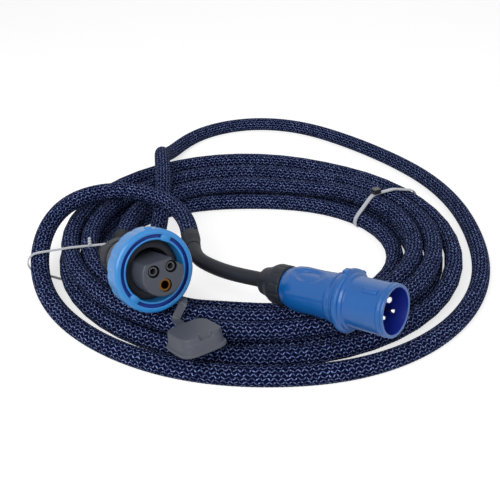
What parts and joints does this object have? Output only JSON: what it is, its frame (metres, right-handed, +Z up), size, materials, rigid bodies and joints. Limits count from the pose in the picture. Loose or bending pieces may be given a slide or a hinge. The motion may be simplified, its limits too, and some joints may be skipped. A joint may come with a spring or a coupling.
{
  "type": "shore power cord",
  "caption": "Coiled shore power cord in a navy braided sleeve, with a blue three-pin plug, a connector with a blue locking ring, a tethered cap and two ties",
  "frame": {"origin": "middle of the cord's footprint, on the floor", "axes": "+Z up; +Y is the way the loose turn stands off the pile, away from the plug and connector; +X to the right seen from the plug side"},
  "size_m": [0.4764, 0.6064, 0.1118],
  "materials": {
    "cord_sleeve": "navy braided sleeve with light crossing picks",
    "black_rubber": "matt black rubber and shrink cover",
    "plug_blue": "semi-matt blue moulding",
    "ring_blue": "light blue moulding",
    "grey_moulding": "matt grey moulding",
    "dark_moulding": "matt dark grey moulding",
    "nickel_pin": "bright nickel plate",
    "socket_brass": "bright brass",
    "screw_steel": "zinc plated steel",
    "tie_nylon": "black nylon",
    "cap_rubber": "matt grey rubber",
    "wire_brown": "brown insulation",
    "wire_blue": "blue insulation",
    "wire_green": "green and yellow insulation"
  },
  "bodies": {
    "cord": {"cord_coil": "cord_sleeve", "cord_loose_turn": "cord_sleeve", "connector_lead": "black_rubber", "plug_lead": "black_rubber", "sleeve_end_plug": "black_rubber", "sleeve_end_connector": "black_rubber", "right_tie_loop": "tie_nylon", "left_tie_loop": "tie_nylon", "right_tie_head": "tie_nylon", "left_tie_twist": "tie_nylon", "plug_shroud": "plug_blue", "plug_pin_carrier": "plug_blue", "plug_line_pin": "nickel_pin", "plug_line_screw": "screw_steel", "plug_line_wire": "wire_brown", "plug_neutral_pin": "nickel_pin", "plug_neutral_screw": "screw_steel", "plug_neutral_wire": "wire_blue", "plug_earth_pin": "nickel_pin", "plug_earth_screw": "screw_steel", "plug_earth_wire": "wire_green", "plug_housing": "plug_blue", "plug_gland_nut": "dark_moulding", "plug_gland_cage": "dark_moulding", "plug_gland_seal": "black_rubber", "connector_insert": "grey_moulding", "connector_line_socket": "socket_brass", "connector_line_screw": "screw_steel", "connector_line_wire": "wire_brown", "connector_neutral_socket": "socket_brass", "connector_neutral_screw": "screw_steel", "connector_neutral_wire": "wire_blue", "connector_earth_socket": "socket_brass", "connector_earth_screw": "screw_steel", "connector_earth_wire": "wire_green", "connector_collar": "dark_moulding", "connector_face_seal": "black_rubber", "connector_ring_clip": "screw_steel", "connector_body": "grey_moulding", "connector_gland_nut": "dark_moulding", "connector_gland_cage": "dark_moulding", "connector_gland_seal": "black_rubber", "cap_strap": "cap_rubber", "cap_strap_rivet": "screw_steel"},
    "locking_ring": {"connector_locking_ring": "ring_blue"},
    "cap": {"cap_body": "cap_rubber"}
  },
  "joints": [
    {"name": "ring_turn", "type": "hinge", "parent": "cord", "child": "locking_ring", "pos_m": [-0.10188, -0.22521, 0.07363], "axis": [0.539, -0.7919, 0.287], "range_deg": [0, 60]},
    {"name": "cap_swing", "type": "hinge", "parent": "cord", "child": "cap", "pos_m": [-0.07579, -0.25533, 0.0382], "axis": [-0.8562, -0.5165, -0.0147], "range_deg": [0, 40]}
  ]
}
